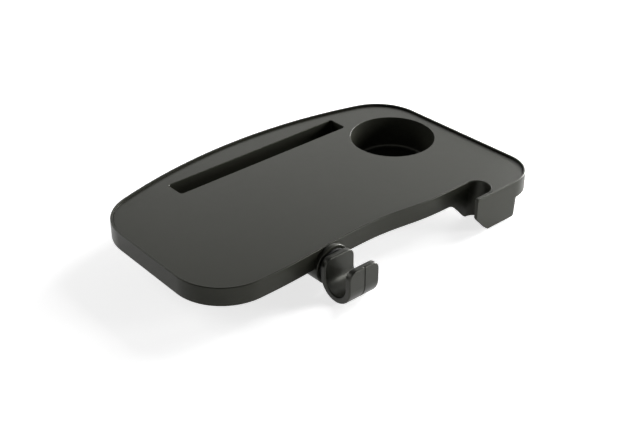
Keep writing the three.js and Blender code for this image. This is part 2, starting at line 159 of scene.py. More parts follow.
class DeckSizes(PropertyGroup):
    """Sizes of the deck, its rim and its skirt"""

    width: length("Width", "Between the sides, at the front edge", 370.7)
    side_taper: angle("Side taper", "How far each side leans in", 1.15)
    back_bow: length("Back bow", "Radius of the bowed back edge", 501)
    back_corner: length("Back corner", "Radius of the back corners", 51)
    front_corner: length("Front corner", "Radius of the front left corner", 50)
    corner_to_scoop: length("Corner to scoop", "From the left corner to the hollow in the front edge", 8)
    scoop_depth: length("Scoop depth", "How far the hollow goes back", 5.5)
    scoop_return: length("Scoop return", "From the hollow's deepest place out to the fork's step", 90)
    scoop_to_fork: length("Scoop to fork", "From the hollow's right end to the finger's tip", 15)
    scoop_ease: FloatProperty(
        name="Scoop ease",
        description="Share of each run that its curve handles span",
        default=0.42,
        subtype="FACTOR",
    )
    rim_height: length("Rim height", "Rim above the deck", RIM_HEIGHT)
    height: FloatProperty(
        name="Height",
        description="Top of the deck above the tray's lowest face",
        default=TRAY_HIGH.z - TRAY_LOW.z - RIM_HEIGHT * MM,
        unit="LENGTH",
    )
    thickness: length("Thickness", "Thickness of the deck", 2.5)
    rim_width: length("Rim width", "From the edge to the deck, with the groove at the rim's foot", 3.2)
    rim_groove: length("Rim groove", "Depth of the groove at the rim's foot", 0.6)
    rim_round: length("Rim rounding", "Rounding of the rim's outer edge", 1)
    skirt: length("Skirt", "From the top of the deck to the skirt's lower edge", 16.2)
    wall: length("Wall", "Thickness of the skirt and of the wells", 2.5)
    edge_round: length("Edge rounding", "Rounding of the lower edges", 0.5)
    rib_height: length("Rib height", "Ribs under the deck", 6)
    rib_wall: length("Rib wall", "Thickness of the ribs", 2)
    rib_pitch: length("Rib pitch", "From rib to rib", 60)


class WellSizes(PropertyGroup):
    """Sizes of the cup well and the tablet slot"""

    front_to_cup: length("Front to cup", "From the front edge to the cup well", 71.4)
    cup: length("Cup diameter", "Cup well at the deck", 85)
    cup_foot: length("Cup foot", "Diameter of the cup well at its floor", 80)
    cup_floor: length("Cup floor", "Thickness of the cup well's floor", 3)
    cup_fillet: length("Cup fillet", "Rounding between the cup well's wall and floor", 4)
    cup_lip: length("Cup lip", "Rounding of the cup well's mouth", 0.4)
    cup_to_side: length("Cup to side", "From the cup well to the tray's side", 12.6)
    cup_to_slot: length("Cup to slot", "From the cup well back to the slot", 4.4)
    slot_width: length("Slot width", "Tablet slot from front to back", 21.5)
    slot_length: length("Slot length", "Tablet slot from end to end", 205.3)
    slot_depth: length("Slot depth", "Deck to the slot's floor", 16)
    slot_floor: length("Slot floor", "Thickness of the slot's floor", 2)
    slot_corner: length("Slot corner", "Radius of the slot's corners", 3)
    slot_lip: length("Slot lip", "Rounding of the slot's mouth", 0.6)
    slot_shift: length("Slot shift", "Middle of the slot to the right of the tray's middle", 3)
    slot_to_back: length("Slot to back", "From the slot to the back edge", 26.5)


class ForkSizes(PropertyGroup):
    """Sizes of the fork at the front right corner"""

    gap: length("Gap", "Gap for the chair's tube", 25)
    reach: length("Reach", "From the finger's tip to the gap's round end", 29)
    to_side: length("To side", "From the gap's round end to the tray's side", 59.4)
    step: length("Step", "Gap's rear wall in front of the front edge", 2.4)
    corner: length("Corner", "Radius of the tray's front right corner", 35)
    finger: length("Finger", "Thickness of the finger", 3.8)
    leg: length("Leg", "Wall around the gap", 3.4)
    block: length("Block", "From the gap's round end to the block's right face", 28)
    block_corner: length("Block corner", "Rounding of the block's right face", 6)
    cut_run: length("Cut run", "Slanted lower edge of both legs, along the front", 15.5)
    cut_rise: length("Cut rise", "Slanted lower edge of both legs, upwards", 16.4)
    foot_round: length("Foot rounding", "Rounding at the ends of the slanted edges", 2.4)
    block_round: length("Block rounding", "Rounding of the block's lower right edge", 4.5)
    block_flare: length("Block flare", "How far the block's right end leans out, up at the deck", 4)
    tip_round: length("Tip rounding", "Rounding of the finger's tip", 1.2)
    tip_band: length("Tip band", "Width of the rim along the finger's inner face", 1.2)


class SwivelSizes(PropertyGroup):
    """Sizes of the hub and of the hook that turns in it"""

    pivot_to_fork: length("Pivot to fork", "From the hook's axis to the finger's tip", 152.2)
    standoff: length("Standoff", "Hub's face in front of the front edge", 1.4)
    hub_length: length("Hub length", "Hub from front to back", 21.5)
    hub_web: length("Hub web", "Solid front wall of the hub", 8)
    hub_recess: length("Hub recess", "Diameter of the recess at the hub's back", 28)
    hub_bore: length("Hub bore", "Diameter of the bore for the bush", 20.6)
    hub_round: length("Hub rounding", "Rounding of the hub's front edge", 0.8)
    saddle: length("Saddle", "Diameter of the hook's saddle", 25.2)
    saddle_drop: length("Saddle drop", "Middle of the saddle below the hook's axis", 2.1)
    hook_wall: length("Hook wall", "Thickness of the hook", 6.1)
    hook_width: length("Hook width", "Width of the hook", 34)
    plate_top: length("Plate top", "Top of the plate above the middle of the saddle", 17.1)
    lip_top: length("Lip top", "Top of the lip above the middle of the saddle", 19.2)
    hook_corner: length("Hook corner", "Radius of the plate's and the lip's corners", 8)
    hook_round: length("Hook rounding", "Rounding of the hook's edges", 1.4)
    groove_width: length("Groove width", "Groove down the lip's outer face", 1.6)
    groove_depth: length("Groove depth", "Groove down the lip's outer face", 0.8)
    clearance: length("Clearance", "Gap between the swivel's pieces", 0.3)
    spigot: length("Spigot", "Diameter of the hook's spigot", 16)
    insert: length("Insert", "Diameter of the insert in the spigot", 7.2)


class Finishes(PropertyGroup):
    """Colours and textures of the plastics, rubber and metals"""

    tray: colour("Tray", "Charcoal plastic of the tray", 0.0248, 0.0254, 0.0192)
    hook: colour("Hook", "Plastic of the hook", 0.0165, 0.0169, 0.0136)
    rubber: colour("Rubber", "Friction ring", 0.012, 0.012, 0.012)
    acetal: colour("Acetal", "Bush in the hub", 0.69, 0.67, 0.6)
    steel: colour("Steel", "Spring, washer and screw", 0.46, 0.47, 0.48)
    brass: colour("Brass", "Insert in the spigot", 0.43, 0.27, 0.07)
    tray_grain: length("Tray grain", "Size of the grain on the tray", 0.45)
    hook_grain: length("Hook grain", "Size of the grain on the hook", 0.3)


class StageSettings(PropertyGroup):
    """Floor, light and camera"""

    floor: colour("Floor", "Floor and background", 0.8, 0.8, 0.8)
    camera: FloatVectorProperty(
        name="Camera",
        description="Place of the camera",
        default=(-0.63848, -0.73068, 0.60196),
        size=3,
        subtype="TRANSLATION",
    )
    tilt: angle("Tilt", "Camera up from straight down", 58.393)
    turn: angle("Turn", "Camera about the vertical", -41.313)
    lens: FloatProperty(
        name="Lens", description="Focal length in millimetres", default=67.5, subtype="DISTANCE_CAMERA"
    )


Station = namedtuple("Station", "x y rim band foot wall")


class Plan:
    """Places worked out from the sizes, from the middle of the front edge and the tray's lowest face."""

    def __init__(self, scene):
        deck, wells, fork, swivel = scene.tray_deck, scene.tray_wells, scene.tray_fork, scene.tray_swivel
        self.deck, self.wells, self.fork, self.swivel = deck, wells, fork, swivel
        self.deck_bottom = deck.height - deck.thickness
        self.deck_middle = deck.height - deck.thickness / 2
        self.rim_top = deck.height + deck.rim_height
        self.skirt_foot = deck.height - deck.skirt
        self.cup_y = wells.front_to_cup + wells.cup / 2
        self.cup_x = self.side(self.cup_y) - wells.cup_to_side - wells.cup / 2
        self.slot_front = wells.front_to_cup + wells.cup + wells.cup_to_slot
        self.slot_back = self.slot_front + wells.slot_width
        self.depth = self.slot_back + wells.slot_to_back
        self.gap_rear = -fork.step
        self.gap_front = self.gap_rear - fork.gap
        self.gap_end = deck.width / 2 - fork.to_side
        self.gap_x = self.gap_end - fork.gap / 2
        self.gap_y = (self.gap_rear + self.gap_front) / 2
        self.face = self.gap_front - fork.finger
        self.tip = self.gap_end - fork.reach
        self.foot = self.tip + fork.cut_run
        self.block_end = self.gap_end + fork.block
        self.pivot_x = self.tip - swivel.pivot_to_fork
        self.hub_radius = self.rim_top / 2
        self.pivot_z = self.hub_radius
        self.pivot = Vector((self.pivot_x, 0, self.pivot_z))
        self.hub_face = -swivel.standoff
        self.place = Vector((
            (RING_LOW.x + RING_HIGH.x) / 2 - self.pivot_x,
            TRAY_LOW.y - self.face,
            TRAY_LOW.z,
        ))
        self.plate = RING_LOW.y - self.place.y - swivel.clearance

    def side(self, y):
        """Half width of the deck at a distance from the front edge."""
        return self.deck.width / 2 - math.tan(self.deck.side_taper) * y

    def slant(self, x, level, ease):
        """Lower edge of a leg of the fork, which comes down from a level and ends in the block's foot."""
        slope = self.fork.cut_rise / self.fork.cut_run
        start = self.foot - level / slope
        return level - slope * (ramp(x - start, ease) - ramp(x - self.foot, self.fork.foot_round))

    def back_corner(self):
        """Middle of the back right corner, and the direction in which it meets the bowed back."""
        deck = self.deck
        lean = math.tan(deck.side_taper)
        start = deck.width / 2 - deck.back_corner / math.cos(deck.side_taper)
        bow = self.depth - deck.back_bow
        reach = deck.back_bow - deck.back_corner
        a = 1 + lean * lean
        b = -lean * start - bow
        c = start * start + bow * bow - reach * reach
        y = (-b + math.sqrt(b * b - a * c)) / a
        x = start - lean * y
        return x, y, math.atan2(y - bow, x)


def ramp(run, ease):
    """Slope of one that starts at zero, rounded over a distance on both sides of its start."""
    if abs(run) < ease:
        return (run + ease) ** 2 / (4 * ease)
    return max(run, 0)


def spaced(start, end, steps):
    """Evenly spaced numbers, with both ends."""
    return [start + (end - start) * i / steps for i in range(steps + 1)]


def arc(x, y, radius, start, end, steps):
    """Points of an arc, with both its ends."""
    return [(x + radius * math.cos(t), y + radius * math.sin(t)) for t in spaced(start, end, steps)]


def quarter(radius, steps):
    """Steps of a quarter turn: along from its start, and down from its start."""
    return [(radius * math.sin(t), radius * (1 - math.cos(t))) for t in spaced(0, QUARTER, steps)]


def rounded_corners(x0, x1, y0, y1, turn, steps):
    """Four rounded corners of a rectangle, anticlockwise from the lower right one."""
    middles = ((x1 - turn, y0 + turn), (x1 - turn, y1 - turn), (x0 + turn, y1 - turn), (x0 + turn, y0 + turn))
    return [arc(x, y, turn, i * QUARTER, (i + 1) * QUARTER, steps) for i, (x, y) in enumerate(middles, -1)]


def edge_stations(plan):
    """Stations around the tray's edge, anticlockwise from the finger's tip, the fork's gap included."""
    deck, fork = plan.deck, plan.fork
    taper = deck.side_taper
    tip, face, rear, front = plan.tip, plan.face, plan.gap_rear, plan.gap_front
    bent = spaced(plan.foot - fork.foot_round, plan.foot + fork.foot_round, 6)
    ease = 2 * fork.foot_round
    stations = []

    def skirt(points, slanted=False):
        for x, y in points:
            foot = plan.slant(x, plan.skirt_foot, ease) if slanted else plan.skirt_foot
            stations.append(Station(x, y, deck.rim_height, deck.rim_width, foot, deck.wall))

    def leg(points, rim, band, level=fork.cut_rise):
        for x, y in points:
            foot = plan.slant(x, level, ease if level > fork.cut_rise else 0)
            stations.append(Station(x, y, rim, band, foot, LEG_SKIN))

    def scoop(x0, y0, x1, y1, steps):
        """Points of an S-shaped run of the front edge."""
        handle = deck.scoop_ease * (x1 - x0)
        knots = [(x0, y0, 0), (x0 + handle, y0, 0), (x1 - handle, y1, 0), (x1, y1, 0)]
        return [p.xy for p in interpolate_bezier(*map(Vector, knots), steps)]

    def rim_at(y):
        """Rim's width around the gap, where it narrows towards the finger."""
        share = (y - front) / fork.gap
        return fork.tip_band + (deck.rim_width - fork.tip_band) * share * share * (3 - 2 * share)

    # Finger's tip and the fork's front face
    bend, tip_rim, full = fork.tip_round, deck.rim_height * TIP_RIM, tip + TIP_RUN
    leg(arc(tip + bend, face + bend, bend, math.pi, 3 * QUARTER, 5), tip_rim, bend)
    along = [full, plan.foot - ease, *bent, plan.gap_x + fork.foot_round]
    leg([(x, face) for x in along], deck.rim_height, fork.finger - 2 * fork.tip_band)
    corner = plan.block_end - fork.block_corner
    leg([(plan.gap_end, face), (corner, face)], deck.rim_height, deck.rim_width)
    # Front right corner, right side, back, left side and front left corner
    skirt([(corner + SNAP, face)])
    y = face + fork.corner
    x = plan.side(y) - fork.corner / math.cos(taper)
    skirt(arc(x, y, fork.corner, -QUARTER, taper, 18))
    x, y, meet = plan.back_corner()
    skirt(arc(x, y, deck.back_corner, taper, meet, 18))
    skirt(arc(0, plan.depth - deck.back_bow, deck.back_bow, meet, math.pi - meet, 48)[1:-1])
    skirt(arc(-x, y, deck.back_corner, math.pi - meet, math.pi - taper, 18))
    y = deck.front_corner
    x = deck.front_corner / math.cos(taper) - plan.side(y)
    skirt(arc(x, y, deck.front_corner, math.pi - taper, 3 * QUARTER, 22))
    # Scooped front edge
    end = tip - deck.scoop_to_fork
    crest = end - deck.scoop_return
    skirt(scoop(x + deck.corner_to_scoop, 0, crest, deck.scoop_depth, 30))
    skirt(scoop(crest, deck.scoop_depth, end, rear, 24)[1:-1])
    skirt([(x, rear) for x in spaced(end, tip - SNAP, 12)], True)
    # Gap's rear wall and round end, and the finger's inner face
    along = spaced(tip, bent[0], 5) + bent[1:]
    leg([(x, rear) for x in along], deck.rim_height, deck.rim_width, plan.skirt_foot)
    clear = bent[-1] + fork.foot_round / 5  # keeps the round end's first points off the bend's last ones
    for x, y in arc(plan.gap_x, plan.gap_y, fork.gap / 2, QUARTER, -QUARTER, 24):
        if x > clear:
            leg([(x, y)], deck.rim_height, rim_at(y))
    leg([(x, front) for x in bent[::-1] + [full]], deck.rim_height, fork.tip_band)
    leg(arc(tip + bend, front - bend, bend, QUARTER, math.pi, 5), tip_rim, bend)
    return stations


def inward(points):
    """Direction into an anticlockwise loop at each point, long enough to keep offset sides parallel."""
    ways = []
    for i, point in enumerate(points):
        before = (point - points[i - 1]).normalized()
        after = (points[(i + 1) % len(points)] - point).normalized()
        a = Vector((-before.y, before.x))
        b = Vector((-after.y, after.x))
        ways.append((a + b) / (1 + a.dot(b)))
    return ways


def edge_section(station, plan):
    """Distance in from the edge and level of each row, from the deck over the rim to the underside."""
    deck = plan.deck
    level, rim, band = deck.height, station.rim, station.band
    top, low, skin = level + rim, station.foot, station.wall
    wall, sunk = band * RIM_WALL, deck.rim_groove * rim / deck.rim_height
    turn, edge = min(deck.rim_round, band * ROUND_SHARE), deck.edge_round
    chamfer = min(SKIRT_CHAMFER, (skin - edge) * CHAMFER_SHARE)
    rows = [(band * across, level - sunk * down) for across, down in GROOVE_ROWS]
    rows += [(wall * across, level - sunk * down) for across, down in WALL_FOOT_ROWS]
    rows += [(wall * across, top - rim * down) for across, down in WALL_TOP_ROWS]
    rows += [(turn - along, top - down) for along, down in quarter(turn, 6)]
    rows += [(down, low + edge - along) for along, down in quarter(edge, 4)]
    return rows + [(skin - chamfer, low), (skin, low + chamfer), (skin, plan.deck_bottom)]


def new_bmesh():
    """Empty bmesh whose vertices can be marked with their station."""
    bm = bmesh.new()
    bm.verts.layers.int.new("station")
    return bm


def closed_loop(bm, points):
    """Loop of edges through the points, each vertex marked with its station."""
    mark = bm.verts.layers.int["station"]
    verts = [bm.verts.new(p) for p in points]
    for i, vert in enumerate(verts):
        vert[mark] = i
    return [bm.edges.new((vert, verts[(i + 1) % len(verts)])) for i, vert in enumerate(verts)]


def edges_in(geometry):
    """Edges among what an operator has made or cut."""
    return [g for g in geometry if isinstance(g, bmesh.types.BMEdge)]


def sweep(bm, edges, rows):
    """Extrudes a loop through rows of points, one point for each station, and gives the last loop."""
    mark = bm.verts.layers.int["station"]
    for row in rows:
        made = bmesh.ops.extrude_edge_only(bm, edges=edges)["geom"]
        edges = edges_in(made)
        for vert in made:
            if isinstance(vert, bmesh.types.BMVert):
                vert.co = row[vert[mark]]
    return edges


def cut_away(bm, place, normal):
    """Cuts off what lies beyond a plane, and closes the cut."""
    cut = bmesh.ops.bisect_plane(
        bm, geom=bm.verts[:] + bm.edges[:] + bm.faces[:], plane_co=place, plane_no=normal, clear_outer=True
    )
    bmesh.ops.edgeloop_fill(bm, edges=edges_in(cut["geom_cut"]))


def offset_rows(points, rows):
    """Rows of points for a plan loop, from the same distance in and level at every point."""
    ways = inward(points)
    return [[(p + w * offset).to_3d() + UP * level for p, w in zip(points, ways)] for offset, level in rows]


def lathe(bm, profile, centre, axis, steps):
    """Spins a profile of radius and distance along the axis all the way round."""
    verts = [bm.verts.new(centre + Vector((radius, 0, 0)) + axis * along) for radius, along in profile]
    edges = [bm.edges.new(pair) for pair in zip(verts, verts[1:])]
    bmesh.ops.spin(
        bm, geom=verts + edges, cent=centre, axis=axis, angle=2 * math.pi, steps=steps, use_merge=True
    )


def open_edges(bm, level):
    """Edges at a level that still lack a face on one side."""
    return [e for e in bm.edges if e.is_boundary and all(abs(v.co.z - level) < WELD for v in e.verts)]


def absorb(bm, other):
    """Moves the geometry of another bmesh into this one."""
    carrier = bpy.data.meshes.new("carrier")
    other.to_mesh(carrier)
    other.free()
    bm.from_mesh(carrier)
    bpy.data.meshes.remove(carrier)


def bar(bm, low, high):
    """Box between two corners."""
    low, high = Vector(low), Vector(high)
    size = high - low
    place = Matrix.Translation((low + high) / 2) @ Matrix.Diagonal((size.x, size.y, size.z, 1))
    bmesh.ops.create_cube(bm, size=1, matrix=place)


def finished(bm, name, body, material, node):
    """Makes a bmesh into a piece that rides on a body and stands for a packed node."""
    bmesh.ops.remove_doubles(bm, verts=bm.verts, dist=WELD)
    bmesh.ops.dissolve_degenerate(bm, edges=bm.edges, dist=WELD)
    bmesh.ops.recalc_face_normals(bm, faces=bm.faces)
    loose = [e for e in bm.edges if not e.is_manifold]
    if loose:
        raise RuntimeError(f"{name} has {len(loose)} open edges, near {loose[0].verts[0].co}")
    mesh = bpy.data.meshes.new(name)
    bm.to_mesh(mesh)
    bm.free()
    mesh.shade_smooth()
    mesh.set_sharp_from_angle(angle=CREASE)
    mesh.materials.append(material)
    piece = bpy.data.objects.new(name, mesh)
    bpy.context.scene.collection.objects.link(piece)
    weights = piece.modifiers.new("Even faces", "WEIGHTED_NORMAL")
    weights.keep_sharp = True
    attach(piece, body)
    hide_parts(node)


def add_edge(bm, plan):
    """Deck edge, rim and skirt as one band, from the deck round to the underside."""
    stations = edge_stations(plan)
    points = [Vector((s.x, s.y)) for s in stations]
    ways = inward(points)
    sections = [edge_section(s, plan) for s in stations]
    rows = [
        [(p + w * section[i][0]).to_3d() + UP * section[i][1] for p, w, section in zip(points, ways, sections)]
        for i in range(len(sections[0]))
    ]
    sweep(bm, closed_loop(bm, rows[0]), rows[1:])


def add_cup(bm, plan):
    """Cup well, inside and outside."""
    wells, deck = plan.wells, plan.deck
    centre = Vector((plan.cup_x, plan.cup_y, 0))
    radius, foot, floor = wells.cup / 2, wells.cup_foot / 2, wells.cup_floor
    fillet, lip = wells.cup_fillet, wells.cup_lip
    inside = [(radius + lip - along, deck.height - down) for along, down in quarter(lip, 5)]
    inside += [(foot - down, floor + fillet - along) for along, down in quarter(fillet, 6)]
    inside += [(foot - 3 * fillet, floor), (0, floor)]  # the ring in between keeps the floor's shading even
    outside = [(radius + deck.wall, plan.deck_bottom)]
    outside += [(foot + deck.wall - down, fillet - along) for along, down in quarter(fillet, 6)] + [(0, 0)]
    for profile in (inside, outside):
        lathe(bm, profile, centre, UP, FACETS)


def add_slot(bm, plan):
    """Tablet slot, inside and outside."""
    wells, deck = plan.wells, plan.deck
    left, right = wells.slot_shift - wells.slot_length / 2, wells.slot_shift + wells.slot_length / 2
    corners = rounded_corners(left, right, plan.slot_front, plan.slot_back, wells.slot_corner, 6)
    points = [Vector(p) for corner in corners for p in corner]
    lip, floor = wells.slot_lip, deck.height - wells.slot_depth
    low, bend = floor - wells.slot_floor, quarter(SLOT_FILLET, 4)
    inside = [(along - lip, deck.height - down) for along, down in quarter(lip, 4)]
    inside += [(down, floor + SLOT_FILLET - along) for along, down in bend]
    outside = [(-deck.wall, plan.deck_bottom)]
    outside += [(down - deck.wall, low + SLOT_FILLET - along) for along, down in bend]
    for section in (inside, outside):
        rows = offset_rows(points, section)
        bmesh.ops.edgeloop_fill(bm, edges=sweep(bm, closed_loop(bm, rows[0]), rows[1:]))


def add_ribs(bm, plan):
    """Ribs under the deck, which stop at the wells and the hub."""
    deck, wells = plan.deck, plan.wells
    edge = edge_stations(plan)
    inset, half_rib = deck.wall / 2, deck.rib_wall / 2
    around_cup = wells.cup / 2 + inset
    reach = math.floor(deck.width / 2 / deck.rib_pitch - 1 / 2)
    for i in range(-reach, reach + 1):
        x = i * deck.rib_pitch
        crossed = [(a, b) for a, b in zip(edge, edge[1:]) if (a.x - x) * (b.x - x) < 0]
        crossings = sorted(a.y + (b.y - a.y) * (x - a.x) / (b.x - a.x) for a, b in crossed)
        front, back = crossings[-2] + inset, crossings[-1] - inset
        if abs(x - plan.pivot_x) < plan.hub_radius:
            front = plan.hub_face + plan.swivel.hub_length - inset
        stops = []
        if abs(x - plan.cup_x) < around_cup:
            half = math.sqrt(around_cup ** 2 - (x - plan.cup_x) ** 2)
            stops.append((plan.cup_y - half, plan.cup_y + half))
        if abs(x - wells.slot_shift) < wells.slot_length / 2 + inset:
            stops.append((plan.slot_front - inset, plan.slot_back + inset))
        for low, high in stops + [(back, back)]:
            foot = plan.deck_bottom - deck.rib_height
            bar(bm, (x - half_rib, front, foot), (x + half_rib, low, plan.deck_middle))
            front = high


def block_pocket(plan):
    """Hollow in the fork's block seen from above, anticlockwise."""
    fork, wall = plan.fork, plan.deck.wall
    bend = fork.block_corner - wall
    x0, x1 = plan.gap_end + fork.leg, plan.block_end - wall
    y0, y1 = plan.face + HAIR + wall, plan.gap_rear + fork.leg - wall
    points = arc(x1 - bend, y0 + bend, bend, -QUARTER, 0, 6) + arc(x1 - bend, y1 - bend, bend, 0, QUARTER, 6)
    return [Vector(p) for p in points + [(x0, y1), (x0, y0)]]


def add_fork(bm, plan):
    """Legs and hollow block of the fork, behind the faces that the skirt carries down, and the finger's top."""
    fork = plan.fork
    tip, face, rear, front = plan.tip + HAIR, plan.face + HAIR, plan.gap_rear + HAIR, plan.gap_front - HAIR
    back = plan.gap_rear + fork.leg
    end, turn = plan.block_end, fork.block_corner
    points = [(tip, face)] + arc(end - turn, face + turn, turn, -QUARTER, 0, 8)
    points += arc(end - turn, back - turn, turn, 0, QUARTER, 8) + [(tip, back), (tip, rear)]
    points += arc(plan.gap_x, plan.gap_y, fork.gap / 2 + HAIR, QUARTER, -QUARTER, 24) + [(tip, front)]
    points = [Vector(p) for p in points]
    ways = inward(points)
    shares = [min(max((p.x - end + turn) / turn, 0), 1) for p in points]
    rows = [[Vector((p.x + s * fork.block_flare, p.y, plan.deck_middle)) for p, s in zip(points, shares)]]
    for along, down in quarter(fork.block_round, 5):
        rows.append([
            (p + w * s * down).to_3d() + UP * (HAIR + s * (fork.block_round - along))
            for p, w, s in zip(points, ways, shares)
        ])
    part = new_bmesh()
    top = closed_loop(part, rows[0])
    foot = sweep(part, top, rows[1:])
    bmesh.ops.edgeloop_fill(part, edges=top)
    pocket = block_pocket(plan)
    mouth = closed_loop(part, [p.to_3d() + UP * HAIR for p in pocket])
    roof = sweep(part, mouth, [[p.to_3d() + UP * (plan.deck_bottom - BLOCK_ROOF) for p in pocket]])
    bmesh.ops.edgeloop_fill(part, edges=roof)
    bmesh.ops.triangle_fill(part, use_beauty=True, edges=foot + mouth, normal=-UP)
    slant = Vector((-fork.cut_rise, 0, -fork.cut_run)).normalized()
    cut_away(part, (plan.tip, 0, fork.cut_rise + LEG_SKIN), slant)
    absorb(bm, part)
    inset = fork.tip_band / 2
    bar(
        bm,
        (tip + fork.tip_round, face + inset, plan.deck_middle),
        (plan.gap_x + fork.tip_round, front - inset, plan.rim_top - HAIR),
    )


def add_hub(bm, plan):
    """Round hub under the front edge: a full ring in front, and its back cut level inside the deck."""
    swivel = plan.swivel
    radius, bore, recess = plan.hub_radius, swivel.hub_bore / 2, swivel.hub_recess / 2
    front, turn = plan.hub_face, swivel.hub_round
    split, web, back = front + HUB_RING, front + swivel.hub_web, front + swivel.hub_length
    ring = [(bore, front)] + [(radius - turn + along, front + down) for along, down in quarter(turn, 5)]
    lathe(bm, ring + [(radius, split), (bore, split), (bore, front)], plan.pivot, PIVOT_AXIS, FACETS)
    part = bmesh.new()
    start = split - OVERLAP
    profile = [(bore, start), (radius - HAIR, start), (radius - HAIR, back - turn), (radius - turn, back)]
    profile += [(recess, back), (recess, web), (bore, web), (bore, start)]
    lathe(part, profile, plan.pivot, PIVOT_AXIS, FACETS)
    bmesh.ops.remove_doubles(part, verts=part.verts, dist=WELD)
    cut_away(part, (0, 0, plan.deck_middle), UP)
    absorb(bm, part)


class TRAY_OT_moulding(Operator):
    """Model the tray: deck, rim, skirt, cup well, tablet slot, fork, hub and ribs"""

    bl_idname = "tray.moulding"
    bl_label = "Tray moulding"

    def execute(self, context):
        plan = Plan(context.scene)
        bm = new_bmesh()
        add_edge(bm, plan)
        add_cup(bm, plan)
        add_slot(bm, plan)
        bmesh.ops.remove_doubles(bm, verts=bm.verts, dist=WELD)
        for level, way in ((plan.deck.height, UP), (plan.deck_bottom, -UP)):
            bmesh.ops.triangle_fill(bm, use_beauty=True, edges=open_edges(bm, level), normal=way)
        add_ribs(bm, plan)
        add_fork(bm, plan)
        add_hub(bm, plan)
        bmesh.ops.translate(bm, verts=bm.verts, vec=plan.place)
        finished(bm, "tray_moulding", "tray", tray_plastic(context.scene), "tray_shell")
        return {"FINISHED"}


def hook_path(plan):
    """Rows along the hook from the plate's top to the lip's: place, way out, turn, distance to the nearer end."""
    swivel = plan.swivel
    middle = (swivel.saddle + swivel.hook_wall) / 2
    y, z = plan.plate - swivel.hook_wall - swivel.saddle / 2, plan.pivot_z - swivel.saddle_drop
    bend = math.pi * middle
    total = swivel.plate_top + bend + swivel.lip_top
    ends = [s * MM for s in HOOK_END_ROWS]
    travel = ends + spaced(swivel.plate_top, swivel.plate_top + bend, 32) + [total - s for s in reversed(ends)]
    rows = []
    for s in travel:
        turn = min(max((s - swivel.plate_top) / middle, 0), math.pi)
        out = Vector((0, math.cos(turn), -math.sin(turn)))
        rise = max(swivel.plate_top - s, 0) + max(s - swivel.plate_top - bend, 0)
        rows.append((Vector((plan.pivot_x, y, z + rise)) + out * middle, out, turn, min(s, total - s)))
    return rows


def hook_section(swivel):
    """Section across the hook: places across and through it, share of the lip's groove, 1 at its rounded sides."""
    half, wall, groove = swivel.hook_width / 2, swivel.hook_wall / 2, swivel.groove_width / 2
    corners = rounded_corners(-half, half, -wall, wall, swivel.hook_round, 5)
    sides = [[(across, through, 0, 1) for across, through in corner] for corner in corners]
    face = [(groove * across, wall, depth, 0) for across, depth in LIP_GROOVE]
    return sides[0] + sides[1] + face + sides[2] + sides[3]


def drawn_in(radius, near):
    """How far a rounded end is drawn in, near its tip."""
    return radius - math.sqrt(max(radius ** 2 - max(radius - near, 0) ** 2, 0))


def spigot_profile(plan):
    """Section of the hook's spigot, from inside the plate to its hollow tail."""
    swivel = plan.swivel
    radius, bore = swivel.spigot / 2, swivel.insert / 2 + swivel.clearance
    start = plan.plate - OVERLAP
    tail, hollow = (low.y - plan.place.y - swivel.clearance for low in (WASHER_LOW, SCREW_LOW))
    profile = [(0, start), (radius, start), (radius, tail - SPIGOT_CHAMFER), (radius - SPIGOT_CHAMFER, tail)]
    return profile + [(bore, tail), (bore, hollow), (0, hollow)]


class TRAY_OT_hook(Operator):
    """Model the swivel hook: a rounded strap bent round the tube, with a groove down its lip"""

    bl_idname = "tray.hook"
    bl_label = "Swivel hook"

    def execute(self, context):
        plan = Plan(context.scene)
        swivel = plan.swivel
        section = hook_section(swivel)
        rows = []
        for place, out, turn, near in hook_path(plan):
            blunt, narrow = drawn_in(swivel.hook_round, near), drawn_in(swivel.hook_corner, near)
            sunk = swivel.groove_depth * min(max((turn - GROOVE_START) / GROOVE_RUN, 0), 1)
            row = []
            for across, through, depth, side in section:
                across -= math.copysign(side * (narrow + blunt), across)
                through -= depth * sunk
                through -= math.copysign(blunt, through)
                row.append(place + Vector((across, 0, 0)) + out * through)
            rows.append(row)
        bm = new_bmesh()
        first = closed_loop(bm, rows[0])
        last = sweep(bm, first, rows[1:])
        for end in (first, last):
            bmesh.ops.edgeloop_fill(bm, edges=end)
        lathe(bm, spigot_profile(plan), plan.pivot, PIVOT_AXIS, FEW_FACETS)
        bmesh.ops.translate(bm, verts=bm.verts, vec=plan.place)
        finished(bm, "hook_strap", "hook", hook_plastic(context.scene), "swivel_hook")
        return {"FINISHED"}


def ring_profile(inner, low, high, turn):
    """Closed section of a ring with rounded outer edges, between the corners of its box."""
    outer, front, back = (high.x - low.x) / 2, low.y, high.y
    profile = [(inner, front)]
    profile += [(outer - turn + along, front + down) for along, down in quarter(turn, 4)]
    profile += [(outer - down, back - turn + along) for along, down in quarter(turn, 4)]
    return profile + [(inner, back), (inner, front)]


